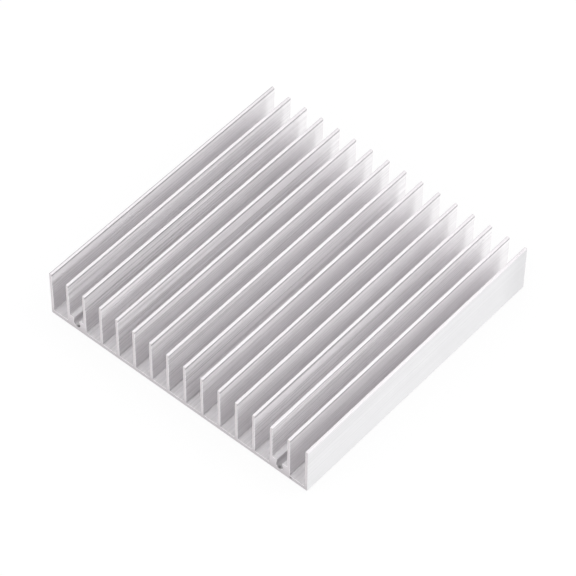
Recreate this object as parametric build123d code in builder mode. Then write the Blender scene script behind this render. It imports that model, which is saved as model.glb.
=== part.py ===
from build123d import *
import math
import os

# Extruded aluminium heat sink, cut to length from one bar.
# A thin flat base carries a row of tall straight fins. In the second channel
# from each side a low boss holds a lengthwise screw groove, open at the top.
# The origin is the middle of the underside: X runs across the fins, Y along
# them and Z up to their tips.

os.makedirs("parts", exist_ok=True)

# Driving dimensions, in millimetres unless a line says otherwise
width = 100.0  # across the fins, over the outer faces of the first and last
length = 100.0  # along the fins, between the sawn ends
height = 18.0  # from the underside to the fin tips
base_thickness = 1.5  # under the open channels
fin_count = 16
fin_thickness = 1.0
groove_radius = 1.3  # round part of the screw groove
groove_lean = 10.0  # degrees that each mouth wall leans over the groove
lip_height = 0.7  # from the top of the groove's circle to the boss top
outer_channels = 1  # open channels outside each boss
root_radius = 0.4  # between a fin and the floor or boss beside it
tip_radius = 0.25  # along the fin tips
lip_radius = 0.3  # along the mouth of the screw groove
corner_radius = 0.3  # along the two lower corners of the bar
end_chamfer = 0.1  # deburred rim of both sawn ends

# Places in the cross-section that follow from them
fin_pitch = (width - fin_thickness) / (fin_count - 1)
groove_spacing = (fin_count - 2 - 2 * outer_channels) * fin_pitch
groove_axis_height = base_thickness + groove_radius
boss_height = groove_axis_height + groove_radius + lip_height

# Half of the groove's section: its round part ends where the leaning wall touches it
lean = math.radians(groove_lean)
wall_foot_x = groove_radius * math.cos(lean)
wall_foot_z = groove_radius * math.sin(lean)
mouth_z = boss_height - groove_axis_height
mouth_x = wall_foot_x - (mouth_z - wall_foot_z) * math.tan(lean)

standing = (Align.CENTER, Align.MIN)
tolerance = 0.001


def at_height(corners, level):
    """The corners of the section that lie at one height above the underside."""
    return corners.filter_by_position(Axis.Y, level - tolerance, level + tolerance)


def beside_groove(corner):
    """Whether a corner is one of the lips of a screw groove."""
    return abs(abs(corner.X) - groove_spacing / 2) < groove_radius


def beside_fin(corner):
    """Whether a corner is where a boss meets a fin."""
    return not beside_groove(corner)


# Screw groove, about its own axis: a round floor with two walls leaning inwards
with BuildSketch() as groove:
    with BuildLine():
        floor = ThreePointArc(
            (-wall_foot_x, wall_foot_z), (0, -groove_radius), (wall_foot_x, wall_foot_z)
        )
        Polyline(floor @ 1, (mouth_x, mouth_z), (-mouth_x, mouth_z), floor @ 0)
    make_face()

with BuildPart() as heat_sink:
    with BuildSketch(Plane.XZ) as section:
        # Base plate and fins
        Rectangle(width, base_thickness, align=standing)
        with GridLocations(fin_pitch, 0, fin_count, 1):
            Rectangle(fin_thickness, height, align=standing)

        # Bosses that fill one channel on each side, with their grooves
        with GridLocations(groove_spacing, 0, 2, 1):
            Rectangle(fin_pitch, boss_height, align=standing)
        with Locations((0, groove_axis_height)):
            with GridLocations(groove_spacing, 0, 2, 1):
                add(groove.sketch, mode=Mode.SUBTRACT)

        # Die radii along the tips, roots, lips and lower corners
        fillet(at_height(section.vertices(), height), tip_radius)
        fillet(at_height(section.vertices(), base_thickness), root_radius)
        fillet(at_height(section.vertices(), boss_height).filter_by(beside_fin), root_radius)
        fillet(at_height(section.vertices(), boss_height).filter_by(beside_groove), lip_radius)
        fillet(at_height(section.vertices(), 0), corner_radius)
    extrude(amount=length / 2, both=True)
    chamfer(heat_sink.faces().filter_by(Axis.Y).edges(), end_chamfer)

heat_sink.part.label = "heat_sink"
export_step(heat_sink.part, "parts/heat_sink.step")
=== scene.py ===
import math

import bpy
import numpy as np
from mathutils import Matrix, Vector


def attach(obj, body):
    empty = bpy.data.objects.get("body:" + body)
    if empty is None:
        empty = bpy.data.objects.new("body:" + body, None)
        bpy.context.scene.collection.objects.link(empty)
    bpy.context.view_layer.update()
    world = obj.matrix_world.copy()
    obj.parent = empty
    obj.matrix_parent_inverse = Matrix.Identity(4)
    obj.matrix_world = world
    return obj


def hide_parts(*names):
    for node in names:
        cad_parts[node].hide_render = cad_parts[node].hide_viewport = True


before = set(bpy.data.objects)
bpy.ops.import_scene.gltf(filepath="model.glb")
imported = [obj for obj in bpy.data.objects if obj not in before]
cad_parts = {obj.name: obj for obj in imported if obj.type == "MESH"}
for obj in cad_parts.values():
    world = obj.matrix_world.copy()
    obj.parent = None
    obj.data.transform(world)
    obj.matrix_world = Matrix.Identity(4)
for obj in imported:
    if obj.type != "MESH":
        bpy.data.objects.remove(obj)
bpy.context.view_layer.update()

MM = 0.001
QUARTER = math.pi / 2

# The bar's section, in millimetres as in the CAD source
WIDTH = 100.0
LENGTH = 100.0
HEIGHT = 18.0
BASE_THICKNESS = 1.5
FIN_COUNT = 16
FIN_THICKNESS = 1.0
FIN_PITCH = (WIDTH - FIN_THICKNESS) / (FIN_COUNT - 1)
BOSS_CHANNELS = (1, FIN_COUNT - 3)
BOSS_HEIGHT = 4.8
GROOVE_RADIUS = 1.3
GROOVE_AXIS_HEIGHT = BASE_THICKNESS + GROOVE_RADIUS
GROOVE_LEAN = math.radians(10.0)
GROOVE_X = WIDTH / 2 - FIN_THICKNESS / 2 - 1.5 * FIN_PITCH
ROOT_RADIUS = 0.4
TIP_RADIUS = 0.25
LIP_RADIUS = 0.3
CORNER_RADIUS = 0.3
RIM_RADIUS = 0.1

# How finely the mesh follows the arcs, and how close two points are one point
ARC_STEPS = 7
GROOVE_STEPS = 28
RIM_STEPS = 3
SAME_POINT = 1e-6

# The photograph's viewpoint
IMAGE_SIDE = 576
FOCAL_PIXELS = 3091.5
SENSOR_WIDTH = 36.0
CAMERA_AIM = Vector((1.742 * MM, -2.424 * MM, 9.0 * MM))
CAMERA_DISTANCE = 916.26 * MM
CAMERA_AZIMUTH = math.radians(40.142)
CAMERA_ELEVATION = math.radians(50.494)
CAMERA_ROLL = math.radians(0.763)


# Section of the bar

class Outline:
    """A closed smooth line round the section: points with the way that each one faces."""

    def __init__(self):
        self.rows = []

    def add(self, x, z, nx, nz):
        row = (x, z, nx, nz)
        if not self.rows or math.dist(self.rows[-1][:2], row[:2]) > SAME_POINT:
            self.rows.append(row)

    def arc(self, cx, cz, radius, start, turn, steps):
        """Points along an arc. A positive turn bulges outwards, a negative one is hollow."""
        side = 1.0 if turn > 0.0 else -1.0
        for step in range(steps + 1):
            angle = start + turn * step / steps
            x = math.cos(angle)
            z = math.sin(angle)
            self.add(cx + radius * x, cz + radius * z, side * x, side * z)

    def finished(self):
        if math.dist(self.rows[0][:2], self.rows[-1][:2]) < SAME_POINT:
            self.rows.pop()
        return np.array(self.rows)


def fin_middle(index):
    return -WIDTH / 2 + FIN_THICKNESS / 2 + FIN_PITCH * index


def add_tip(outline, middle):
    """A fin's rounded tip, from right to left."""
    shoulder = FIN_THICKNESS / 2 - TIP_RADIUS
    top = HEIGHT - TIP_RADIUS
    outline.arc(middle + shoulder, top, TIP_RADIUS, 0.0, QUARTER, ARC_STEPS)
    outline.arc(middle - shoulder, top, TIP_RADIUS, QUARTER, QUARTER, ARC_STEPS)


def add_groove(outline, axis):
    """A boss's top from right to left, with its screw groove."""
    lean = GROOVE_LEAN
    foot = (GROOVE_RADIUS * math.cos(lean), GROOVE_RADIUS * math.sin(lean))
    rise = BOSS_HEIGHT - GROOVE_AXIS_HEIGHT
    mouth = foot[0] - (rise - foot[1]) * math.tan(lean)
    # The lip's circle touches the boss top and the leaning wall
    lip = mouth + LIP_RADIUS * (1.0 / math.cos(lean) + math.tan(lean))
    lip_z = BOSS_HEIGHT - LIP_RADIUS
    outline.arc(axis + lip, lip_z, LIP_RADIUS, QUARTER, QUARTER + lean, ARC_STEPS)
    outline.arc(axis, GROOVE_AXIS_HEIGHT, GROOVE_RADIUS, lean, -math.pi - 2 * lean, GROOVE_STEPS)
    outline.arc(axis - lip, lip_z, LIP_RADIUS, -lean, QUARTER + lean, ARC_STEPS)


def add_channel(outline, channel):
    """A channel from right to left, from the root of one fin to the root of the next."""
    half = FIN_THICKNESS / 2
    boss = channel in BOSS_CHANNELS
    level = (BOSS_HEIGHT if boss else BASE_THICKNESS) + ROOT_RADIUS
    right_root = fin_middle(channel + 1) - half - ROOT_RADIUS
    left_root = fin_middle(channel) + half + ROOT_RADIUS
    outline.arc(right_root, level, ROOT_RADIUS, 0.0, -QUARTER, ARC_STEPS)
    if boss:
        add_groove(outline, (right_root + left_root) / 2)
    outline.arc(left_root, level, ROOT_RADIUS, -QUARTER, -QUARTER, ARC_STEPS)


def make_outline():
    """The whole section, once round against the clock, seen from the front."""
    outline = Outline()
    corner = WIDTH / 2 - CORNER_RADIUS
    outline.arc(-corner, CORNER_RADIUS, CORNER_RADIUS, math.pi, QUARTER, ARC_STEPS)
    outline.arc(corner, CORNER_RADIUS, CORNER_RADIUS, -QUARTER, QUARTER, ARC_STEPS)
    for index in reversed(range(FIN_COUNT)):
        add_tip(outline, fin_middle(index))
        if index > 0:
            add_channel(outline, index - 1)
    return outline.finished()


# Mesh of the bar

def make_rings():
    """The rings of points from front to back: an angle round the end's rim, and which end."""
    rings = []
    for step in range(RIM_STEPS + 1):
        rings.append((QUARTER * (1.0 - step / RIM_STEPS), -1.0))
    for step in range(RIM_STEPS + 1):
        rings.append((QUARTER * step / RIM_STEPS, 1.0))
    return rings


def place_rings(section, rings):
    """The points of every ring, and the way that each point faces."""
    points = np.zeros((len(rings), len(section), 3))
    facing = np.zeros((len(rings), len(section), 3))
    for number, (angle, end) in enumerate(rings):
        inset = RIM_RADIUS * (1.0 - math.cos(angle))
        points[number, :, 0] = section[:, 0] - section[:, 2] * inset
        points[number, :, 2] = section[:, 1] - section[:, 3] * inset
        points[number, :, 1] = end * (LENGTH / 2 - RIM_RADIUS * (1.0 - math.sin(angle)))
        facing[number, :, 0] = section[:, 2] * math.cos(angle)
        facing[number, :, 2] = section[:, 3] * math.cos(angle)
        facing[number, :, 1] = end * math.sin(angle)
    return points, facing


def join_rings(facing):
    """The faces from ring to ring, and the way that each of their corners faces."""
    ring_count, count = facing.shape[:2]
    faces = []
    corner_facing = []
    for number in range(ring_count - 1):
        for place in range(count):
            after = (place + 1) % count
            loop = ((number, place), (number + 1, place), (number + 1, after), (number, after))
            faces.append([ring * count + spot for ring, spot in loop])
            corner_facing.extend(tuple(facing[ring, spot]) for ring, spot in loop)
    return faces, corner_facing


def make_bar(metal, sawn):
    """The bar: drawn faces along its length, sawn faces with rounded rims at its ends."""
    section = make_outline()
    rings = make_rings()
    points, facing = place_rings(section, rings)
    faces, corner_facing = join_rings(facing)
    drawn_count = len(faces)
    count = len(section)
    last = (len(rings) - 1) * count
    faces.append(list(range(count)))
    corner_facing.extend([(0.0, -1.0, 0.0)] * count)
    faces.append(list(reversed(range(last, last + count))))
    corner_facing.extend([(0.0, 1.0, 0.0)] * count)

    mesh = bpy.data.meshes.new("heat_sink_bar")
    mesh.from_pydata((points.reshape(-1, 3) * MM).tolist(), [], faces)
    mesh.materials.append(metal)
    mesh.materials.append(sawn)
    for polygon in mesh.polygons:
        polygon.use_smooth = True
        polygon.material_index = 0 if polygon.index < drawn_count else 1
    mesh.normals_split_custom_set(corner_facing)
    bar = bpy.data.objects.new("heat_sink_bar", mesh)
    bpy.context.scene.collection.objects.link(bar)
    return bar


# Calls for materials

class Nodes:
    """Short calls that add nodes to one new material."""

    def __init__(self, name):
        self.material = bpy.data.materials.new(name)
        self.material.use_nodes = True
        self.tree = self.material.node_tree
        self.shader = self.tree.nodes["Principled BSDF"].inputs

    def node(self, kind, **settings):
        made = self.tree.nodes.new(kind)
        for name, value in settings.items():
            setattr(made, name, value)
        return made

    def put(self, socket, value):
        """Link a socket, or set its plain value. None leaves it as it is."""
        if isinstance(value, bpy.types.NodeSocket):
            self.tree.links.new(value, socket)
        elif value is not None:
            socket.default_value = value

    def feed(self, name, value):
        """Link or set one input of the material's shader."""
        self.put(self.shader[name], value)

    def math(self, operation, first, second=None, third=None):
        made = self.node("ShaderNodeMath", operation=operation)
        for socket, value in zip(made.inputs, (first, second, third)):
            self.put(socket, value)
        return made.outputs[0]

    def product(self, first, *others):
        for other in others:
            first = self.math("MULTIPLY", first, other)
        return first

    def changed(self, value, mask, change):
        """A value made larger or smaller by a share where the mask is one."""
        return self.product(value, self.math("MULTIPLY_ADD", mask, change, 1.0))

    def vector(self, operation, first, second=None):
        made = self.node("ShaderNodeVectorMath", operation=operation)
        self.put(made.inputs[0], first)
        self.put(made.inputs[1], second)
        return made.outputs["Vector"]

    def scaled(self, vector, factor):
        """A vector or a colour times one number."""
        made = self.node("ShaderNodeVectorMath", operation="SCALE")
        self.put(made.inputs[0], vector)
        self.put(made.inputs["Scale"], factor)
        return made.outputs["Vector"]

    def distance(self, first, second):
        made = self.node("ShaderNodeVectorMath", operation="DISTANCE")
        self.put(made.inputs[0], first)
        self.put(made.inputs[1], second)
        return made.outputs["Value"]

    def split(self, vector):
        made = self.node("ShaderNodeSeparateXYZ")
        self.put(made.inputs[0], vector)
        return made.outputs

    def mix(self, first, second, factor):
        """The first colour where the factor is zero, the second where it is one."""
        made = self.node("ShaderNodeMix", data_type="VECTOR")
        self.put(made.inputs["Factor"], factor)
        self.put(made.inputs["A"], first)
        self.put(made.inputs["B"], second)
        return made.outputs["Result"]

    def ramp(self, value, low, high, out_low, out_high):
        """A straight ramp between two values, flat beyond them."""
        made = self.node("ShaderNodeMapRange", clamp=True)
        for name, number in (("Value", value), ("From Min", low), ("From Max", high),
                             ("To Min", out_low), ("To Max", out_high)):
            self.put(made.inputs[name], number)
        return made.outputs["Result"]

    def rise(self, value, low, high):
        """Zero below the low value, and one above the high value."""
        return self.ramp(value, low, high, 0.0, 1.0)

    def fall(self, value, low, high):
        """One below the low value, and zero above the high value."""
        return self.ramp(value, low, high, 1.0, 0.0)

    def line(self, value, middle, reach):
        """One at a value, falling to nothing a reach away on both sides."""
        return self.fall(self.math("ABSOLUTE", self.math("SUBTRACT", value, middle)), 0.0, reach)

    def spot(self, place, middle, radius):
        """One at a point, falling to nothing a radius away."""
        return self.fall(self.distance(place, middle), 0.0, radius)

    def noise(self, place, scale, detail, rough):
        made = self.node("ShaderNodeTexNoise")
        self.put(made.inputs["Vector"], place)
        made.inputs["Scale"].default_value = scale
        made.inputs["Detail"].default_value = detail
        made.inputs["Roughness"].default_value = rough
        return made.outputs["Fac"]

    def number_noise(self, number, scale, detail):
        """Noise that depends on a single number."""
        made = self.node("ShaderNodeTexNoise", noise_dimensions="1D")
        self.put(made.inputs["W"], number)
        made.inputs["Scale"].default_value = scale
        made.inputs["Detail"].default_value = detail
        return made.outputs["Fac"]

    def random_value(self, number):
        """A random value between zero and one, always the same for the same number."""
        made = self.node("ShaderNodeTexWhiteNoise", noise_dimensions="1D")
        self.put(made.inputs["W"], number)
        return made.outputs["Value"]

    def bump(self, height, depth):
        made = self.node("ShaderNodeBump")
        made.inputs["Strength"].default_value = 1.0
        made.inputs["Distance"].default_value = depth
        self.put(made.inputs["Height"], height)
        return made.outputs["Normal"]

    def bar_place(self):
        """The point on the bar, in millimetres."""
        return self.scaled(self.node("ShaderNodeTexCoord").outputs["Object"], 1.0 / MM)


# Drawn metal

# One aluminium in lit and shaded copies: painted light makes it brighter and pinker between the fins,
# painted shade makes it darker and cooler on the outer sides and darker on the tips
INNER_LIT_COLOR = (0.945, 0.927, 0.941)
OUTER_SHADED_COLOR = (0.8, 0.797, 0.808)
TIP_SHADED_COLOR = (0.825, 0.797, 0.818)
METAL_ROUGHNESS = 0.4
ROUGHNESS_SPREAD = 0.02
OXIDE_SHARE = 0.26

# The drawn lines: noise sizes per millimetre, and how much a line tilts and lightens the surface
LINE_START = (541.0, 0.0, 0.0)
LINE_SQUEEZE = (1.0, 0.004, 1.0)
FINE_LINE_SCALE = 2.2
WIDE_LINE_SCALE = 0.8
POLISH_SCALE = 0.9
LINE_TILT = 0.17
LINE_TONE = 0.08

# Which random share of lines each fin gets, and the change in strength on the outer sides and tips
FIN_SEED = 3.5
FAINT_LINES = -0.7

# How much lighter or darker each zone is. Besides the random clouds, these are painted shade and painted
# highlights, and a cap on the tone
CLOUD_SCALE = 0.09
CLOUD_TONE = -0.025
OUTER_RIM_SHADE_TONE = -0.38
LEFT_RIM_SHADE_TONE = -0.25
UNDER_TIP_SHADE_TONE = -0.5
UNDER_TIP_HIGHLIGHT_TONE = 0.12
DEEP_SHADE_TONE = -0.045
CORNER_SHADE_TONE = -0.14
HOLLOW_SHADE_TONE = -0.06
GROOVE_SHADOW_SPOT_TONE = -0.9
FAR_END_SHADE_TONE = -0.07
BRIGHTEST_TONE = 1.05

# Where the painted dark line and the painted highlight run under each tip, and how wide they are to each
# side
UNDER_TIP_SHADE_DROP = 0.5
UNDER_TIP_HIGHLIGHT_DROP = 1.5
UNDER_TIP_LINE_REACH = 0.5

# A painted shadow spot on the floor of a screw groove, at each of its ends
GROOVE_SHADOW_SPOT_PLACE = (GROOVE_X - 0.25, LENGTH / 2 - 0.4, BASE_THICKNESS + 0.2)
GROOVE_SHADOW_SPOT_RADIUS = 0.9


class BarZones:
    """Where a point of the drawn metal lies. A zone's mask is one in it and zero outside it."""

    def __init__(self, nodes):
        self.place = nodes.bar_place()
        self.x, self.y, self.z = nodes.split(self.place)
        self.outside = nodes.rise(nodes.math("ABSOLUTE", self.x), WIDTH / 2 - 0.2, WIDTH / 2 - 0.1)
        self.inside = nodes.math("SUBTRACT", 1.0, self.outside)
        self.tip = nodes.rise(self.z, HEIGHT - 0.4, HEIGHT - 0.2)
        self.far_end = nodes.rise(self.y, LENGTH / 2 - 12.0, LENGTH / 2 - 3.0)

        # The number of the nearest fin, and how far right of its middle the point is
        first = fin_middle(0)
        pitches = nodes.math("DIVIDE", nodes.math("SUBTRACT", self.x, first), FIN_PITCH)
        self.fin = nodes.math("ROUND", pitches)
        middle = nodes.math("MULTIPLY_ADD", self.fin, FIN_PITCH, first)
        self.off_middle = nodes.math("SUBTRACT", self.x, middle)

        # A noise of this place barely changes along Y
        self.along = nodes.vector("ADD", nodes.vector("MULTIPLY", self.place, LINE_SQUEEZE), LINE_START)


def rim_shade_changes(nodes, zones):
    """Painted shade: dark rims along the left of each tip, darkest on the outer left fin."""
    outer = nodes.fall(zones.x, -WIDTH / 2 + 0.25, -WIDTH / 2 + 0.4)
    left = nodes.fall(zones.off_middle, -FIN_THICKNESS / 2 + 0.08, -FIN_THICKNESS / 2 + 0.16)
    return [
        (nodes.product(zones.tip, outer), OUTER_RIM_SHADE_TONE),
        (nodes.product(zones.tip, left), LEFT_RIM_SHADE_TONE),
    ]


def under_tip_shade_and_highlight(nodes, zones):
    """A painted dark line close under each tip and a painted highlight below it."""
    # The dark line is painted shade, the light line a painted highlight
    groove = nodes.line(zones.z, HEIGHT - UNDER_TIP_SHADE_DROP, UNDER_TIP_LINE_REACH)
    painted_highlight_line = nodes.line(zones.z, HEIGHT - UNDER_TIP_HIGHLIGHT_DROP, UNDER_TIP_LINE_REACH)
    return [
        (nodes.product(groove, zones.inside), UNDER_TIP_SHADE_TONE),
        (nodes.product(painted_highlight_line, zones.inside), UNDER_TIP_HIGHLIGHT_TONE),
    ]


def channel_shade_changes(nodes, zones):
    """Painted shade: darker low walls, and dark corners where the fins meet the base."""
    deep = nodes.fall(zones.z, BASE_THICKNESS + 0.5, HEIGHT / 2)
    low = nodes.fall(zones.z, BASE_THICKNESS + 0.5, BASE_THICKNESS + 0.9)
    from_middle = nodes.math("ABSOLUTE", zones.off_middle)
    beside_fin = nodes.fall(from_middle, FIN_THICKNESS / 2, FIN_THICKNESS / 2 + 0.6)
    return [
        (nodes.product(deep, zones.inside), DEEP_SHADE_TONE),
        (nodes.product(low, beside_fin, zones.inside), CORNER_SHADE_TONE),
    ]


def groove_shade_changes(nodes, zones):
    """Painted shade in the screw grooves, with a painted shadow spot on their floors at both ends."""
    below_mouth = nodes.fall(zones.z, BOSS_HEIGHT - 0.5, BOSS_HEIGHT - 0.1)
    off_axis = nodes.math("SUBTRACT", nodes.math("ABSOLUTE", zones.x), GROOVE_X)
    between_walls = nodes.fall(nodes.math("ABSOLUTE", off_axis), GROOVE_RADIUS, GROOVE_RADIUS + 0.15)
    mirrored = nodes.vector("ABSOLUTE", zones.place)
    return [
        (nodes.product(below_mouth, between_walls), HOLLOW_SHADE_TONE),
        (nodes.spot(mirrored, GROOVE_SHADOW_SPOT_PLACE, GROOVE_SHADOW_SPOT_RADIUS), GROOVE_SHADOW_SPOT_TONE),
    ]


def drawn_lines(nodes, zones):
    """Fine lines along the bar, above zero where lighter and below it where darker."""
    fine = nodes.ramp(nodes.noise(zones.along, FINE_LINE_SCALE, 2.0, 0.7), 0.38, 0.62, -1.8, 1.8)
    wide = nodes.ramp(nodes.noise(zones.along, WIDE_LINE_SCALE, 1.0, 0.5), 0.35, 0.65, -0.3, 0.3)

    # Each fin has its own share of lines, and they fade towards the far end and deep in the channels
    fin_value = nodes.random_value(nodes.math("ADD", zones.fin, FIN_SEED))
    fin_share = nodes.ramp(fin_value, 0.0, 1.0, 0.6, 1.4)
    near = nodes.ramp(zones.y, 0.0, LENGTH / 2 - 5.0, 1.0, 0.4)
    high = nodes.ramp(zones.z, 5.0, 12.0, 0.5, 1.15)
    strength = nodes.product(fin_share, near, high)
    strength = nodes.changed(strength, zones.outside, FAINT_LINES)
    strength = nodes.changed(strength, zones.tip, FAINT_LINES)
    return nodes.product(nodes.math("ADD", fine, wide), strength)


def metal_tone(nodes, zones, lines):
    """How light the metal is, from soft clouds, the lines, and painted shade and highlights by zone."""
    cloud = nodes.noise(zones.place, CLOUD_SCALE, 3.0, 0.6)
    tone = nodes.ramp(cloud, 0.3, 0.7, 1.0 + CLOUD_TONE, 1.0)
    changes = [
        *rim_shade_changes(nodes, zones),
        *under_tip_shade_and_highlight(nodes, zones),
        *channel_shade_changes(nodes, zones),
        *groove_shade_changes(nodes, zones),
        # Painted shade: darker towards the far end
        (zones.far_end, FAR_END_SHADE_TONE),
        (lines, LINE_TONE),
    ]
    for mask, change in changes:
        tone = nodes.changed(tone, mask, change)
    return nodes.math("MINIMUM", tone, BRIGHTEST_TONE)


def metal_roughness(nodes, zones):
    polish = nodes.noise(zones.along, POLISH_SCALE, 1.0, 0.5)
    smooth = METAL_ROUGHNESS - ROUGHNESS_SPREAD
    dull = METAL_ROUGHNESS + ROUGHNESS_SPREAD
    return nodes.ramp(polish, 0.3, 0.7, smooth, dull)


def bare_metal(nodes, zones, facing):
    """The share of bare metal: less on the floors of the channels, which are a little oxidised."""
    upward = nodes.rise(nodes.split(facing)["Z"], 0.7, 0.95)
    low = nodes.fall(zones.z, BOSS_HEIGHT + 0.2, BOSS_HEIGHT + 1.2)
    return nodes.math("MULTIPLY_ADD", nodes.product(upward, low), -OXIDE_SHARE, 1.0)


def make_metal():
    """Mill-finish aluminium drawn through a die: fine lines run along the bar."""
    nodes = Nodes("aluminium")
    zones = BarZones(nodes)
    lines = drawn_lines(nodes, zones)
    facing = nodes.node("ShaderNodeNewGeometry").outputs["Normal"]
    # Lit and shaded copies of one aluminium: painted light between the fins, painted shade on the outer
    # sides and the tips
    color = nodes.mix(nodes.mix(INNER_LIT_COLOR, OUTER_SHADED_COLOR, zones.outside), TIP_SHADED_COLOR, zones.tip)
    nodes.feed("Base Color", nodes.scaled(color, metal_tone(nodes, zones, lines)))
    nodes.feed("Roughness", metal_roughness(nodes, zones))
    nodes.feed("Metallic", bare_metal(nodes, zones, facing))
    nodes.feed("Anisotropic", 1.0)

    # The lines tilt the surface up and down across the bar, and never along it
    across = nodes.vector("CROSS_PRODUCT", facing, (0.0, 1.0, 0.0))
    lean = nodes.scaled(across, nodes.product(lines, LINE_TILT))
    nodes.feed("Tangent", across)
    nodes.feed("Normal", nodes.vector("NORMALIZE", nodes.vector("ADD", facing, lean)))
    return nodes.material


# Sawn metal

SAWN_COLOR = (0.715, 0.682, 0.703)
NICK_TONE = -0.75

# The middle of the saw blade, in millimetres, and the marks that it left in arcs
BLADE_PLACE = (30.0, 0.0, -150.0)
MARK_SCALE = 2.5
MARK_DEPTH = 0.01 * MM

# A small dark nick in the near end, at the foot of the last fin but one
NICK_PLACE = (43.85, -LENGTH / 2, 1.1)
NICK_RADIUS = 0.7


def make_sawn():
    """Sawn aluminium: fine arcs across the ends, left by the blade."""
    nodes = Nodes("aluminium_sawn")
    place = nodes.bar_place()
    from_blade = nodes.distance(nodes.vector("MULTIPLY", place, (1.0, 0.0, 1.0)), BLADE_PLACE)
    marks = nodes.number_noise(from_blade, MARK_SCALE, 3.0)
    cloud = nodes.noise(place, 0.4, 2.0, 0.6)
    tone = nodes.product(
        nodes.ramp(marks, 0.3, 0.7, 0.93, 1.0),
        nodes.ramp(cloud, 0.3, 0.7, 0.97, 1.0),
        # Painted shade: the ends grow darker towards the bottom
        nodes.ramp(nodes.split(place)["Z"], 1.0, 4.0, 0.84, 1.0),
    )
    tone = nodes.changed(tone, nodes.spot(place, NICK_PLACE, NICK_RADIUS), NICK_TONE)
    nodes.feed("Base Color", nodes.scaled(SAWN_COLOR, tone))
    nodes.feed("Roughness", nodes.ramp(cloud, 0.3, 0.7, 0.5, 0.6))
    nodes.feed("Metallic", 1.0)
    nodes.feed("Normal", nodes.bump(marks, MARK_DEPTH))
    return nodes.material


# Camera

def direction(azimuth, elevation):
    """The way from the object to a camera or a lamp. Azimuth 0 is the front, a quarter turn the right."""
    flat = math.cos(elevation)
    return Vector((math.sin(azimuth) * flat, -math.cos(azimuth) * flat, math.sin(elevation)))


def make_camera():
    """The camera at the photograph's place, turned about its own axis by the small roll."""
    back = direction(CAMERA_AZIMUTH, CAMERA_ELEVATION)
    right = Vector((0.0, 0.0, 1.0)).cross(back).normalized()
    up = back.cross(right)
    turn = Matrix.Rotation(CAMERA_ROLL, 3, back)
    axes = Matrix((turn @ right, turn @ up, back)).transposed()
    data = bpy.data.cameras.new("camera")
    data.sensor_width = SENSOR_WIDTH
    data.lens = FOCAL_PIXELS / IMAGE_SIDE * SENSOR_WIDTH
    data.clip_start = 0.01
    data.clip_end = 50.0
    camera = bpy.data.objects.new("camera", data)
    camera.matrix_world = Matrix.Translation(CAMERA_AIM + back * CAMERA_DISTANCE) @ axes.to_4x4()
    bpy.context.scene.collection.objects.link(camera)
    bpy.context.scene.camera = camera


# Floor and light, in metres

FLOOR_HALF_SIDE = 3.0
FLOOR_DROP = 0.0002
FLOOR_COLOR = (0.12, 0.12, 0.12, 1.0)
FLOOR_GLOW = 0.86
WORLD_STRENGTH = 1.0
LAMP_DISTANCE = 1.4

# Each lamp's name, azimuth and elevation in degrees, side and radiance
LAMPS = (
    ("softbox_top", 90.0, 88.0, 1.0, 0.4),
    ("softbox_front", 0.0, 40.0, 1.4, 0.7),
    ("softbox_right_low", 124.6, 30.9, 0.6, 0.8),
    ("softbox_right_high", 138.1, 49.2, 0.6, 1.4),
    ("softbox_back_high", 169.4, 60.4, 0.6, 0.5),
)


def make_floor_material():
    """Mostly an even glow. The little light that it reflects is what the shadow takes away."""
    material = bpy.data.materials.new("floor")
    material.use_nodes = True
    nodes = material.node_tree.nodes
    links = material.node_tree.links
    nodes.clear()
    output = nodes.new("ShaderNodeOutputMaterial")
    diffuse = nodes.new("ShaderNodeBsdfDiffuse")
    diffuse.inputs["Color"].default_value = FLOOR_COLOR
    glow = nodes.new("ShaderNodeEmission")
    glow.inputs["Strength"].default_value = FLOOR_GLOW
    both = nodes.new("ShaderNodeAddShader")
    links.new(diffuse.outputs[0], both.inputs[0])
    links.new(glow.outputs[0], both.inputs[1])
    links.new(both.outputs[0], output.inputs["Surface"])
    return material


def make_floor():
    """A plain white floor that keeps a soft shadow of the object."""
    side = FLOOR_HALF_SIDE
    corners = [(-side, -side, 0.0), (side, -side, 0.0), (side, side, 0.0), (-side, side, 0.0)]
    mesh = bpy.data.meshes.new("floor")
    mesh.from_pydata(corners, [], [(0, 1, 2, 3)])
    mesh.materials.append(make_floor_material())
    floor = bpy.data.objects.new("floor", mesh)
    floor.location.z = -FLOOR_DROP
    bpy.context.scene.collection.objects.link(floor)


def make_softbox(name, azimuth, elevation, side, radiance):
    """A large square soft lamp that faces the object."""
    away = direction(math.radians(azimuth), math.radians(elevation))
    data = bpy.data.lights.new(name, "AREA")
    data.shape = "RECTANGLE"
    data.size = side
    data.size_y = side
    data.energy = radiance * math.pi * side * side
    lamp = bpy.data.objects.new(name, data)
    lamp.location = away * LAMP_DISTANCE
    lamp.rotation_euler = away.to_track_quat("Z", "Y").to_euler()
    lamp.visible_camera = False
    bpy.context.scene.collection.objects.link(lamp)


def make_world():
    """Even soft studio light from all round."""
    world = bpy.data.worlds.new("studio")
    bpy.context.scene.world = world
    world.use_nodes = True
    background = world.node_tree.nodes["Background"]
    background.inputs["Color"].default_value = (1.0, 1.0, 1.0, 1.0)
    background.inputs["Strength"].default_value = WORLD_STRENGTH


# The scene

make_camera()
make_floor()
make_world()
for lamp in LAMPS:
    make_softbox(*lamp)
bar = make_bar(make_metal(), make_sawn())
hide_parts("heat_sink")
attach(bar, "root")

scene = bpy.context.scene
scene.view_settings.view_transform = "Standard"

# Light bounces many times between the fins
scene.cycles.max_bounces = 16
scene.cycles.glossy_bounces = 16
